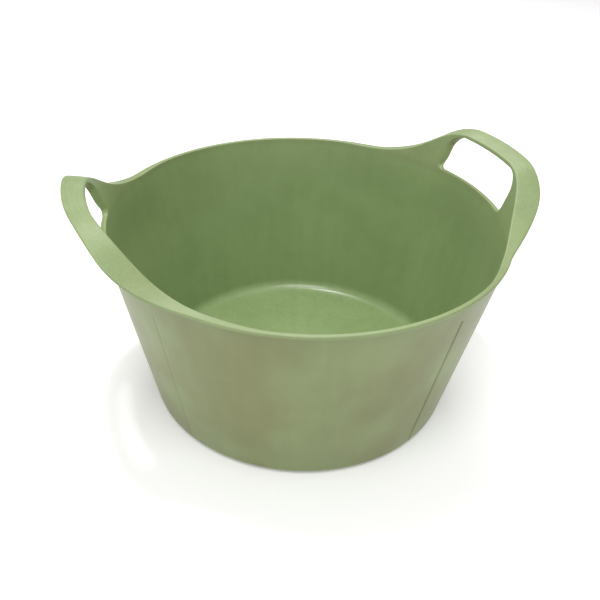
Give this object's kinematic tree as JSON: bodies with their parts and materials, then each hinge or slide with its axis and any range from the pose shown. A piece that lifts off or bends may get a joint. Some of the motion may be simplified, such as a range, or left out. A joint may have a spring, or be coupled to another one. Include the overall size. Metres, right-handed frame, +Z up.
{
  "type": "mortar mixing tub",
  "caption": "Shallow flexible round tub with sloping walls, a thin rim lip and two upstanding loop handles.",
  "frame": {"origin": "centre of the standing plane, under the middle of the floor", "axes": "+X towards the right handle, +Y towards the back, +Z up out of the tub's mouth"},
  "size_m": [0.4292, 0.38, 0.2317],
  "materials": {
    "tub_plastic": "soft satin, polished inside",
    "handle_plastic": "soft satin, rubbed on the grips"
  },
  "bodies": {
    "tub": {"foot_ring": "tub_plastic", "floor_panel": "tub_plastic", "base_corner": "tub_plastic", "front_wall": "tub_plastic", "right_wall": "tub_plastic", "rear_wall": "tub_plastic", "left_wall": "tub_plastic", "front_rim_lip": "tub_plastic", "rear_rim_lip": "tub_plastic", "right_sill": "tub_plastic", "left_sill": "tub_plastic", "right_front_leg_root": "tub_plastic", "right_rear_leg_root": "tub_plastic", "left_front_leg_root": "tub_plastic", "left_rear_leg_root": "tub_plastic"},
    "right_handle": {"right_grip": "handle_plastic", "right_front_leg": "handle_plastic", "right_rear_leg": "handle_plastic"},
    "left_handle": {"left_grip": "handle_plastic", "left_front_leg": "handle_plastic", "left_rear_leg": "handle_plastic"}
  },
  "joints": [
    {"name": "right_handle_flex", "type": "hinge", "parent": "tub", "child": "right_handle", "pos_m": [0.168, 0, 0.193], "axis": [0, -1, 0], "range_deg": [-8, 15], "stiffness_Nm_per_rad": 1.5},
    {"name": "left_handle_flex", "type": "hinge", "parent": "tub", "child": "left_handle", "pos_m": [-0.168, 0, 0.193], "axis": [0, 1, 0], "range_deg": [-8, 15], "stiffness_Nm_per_rad": 1.5}
  ]
}
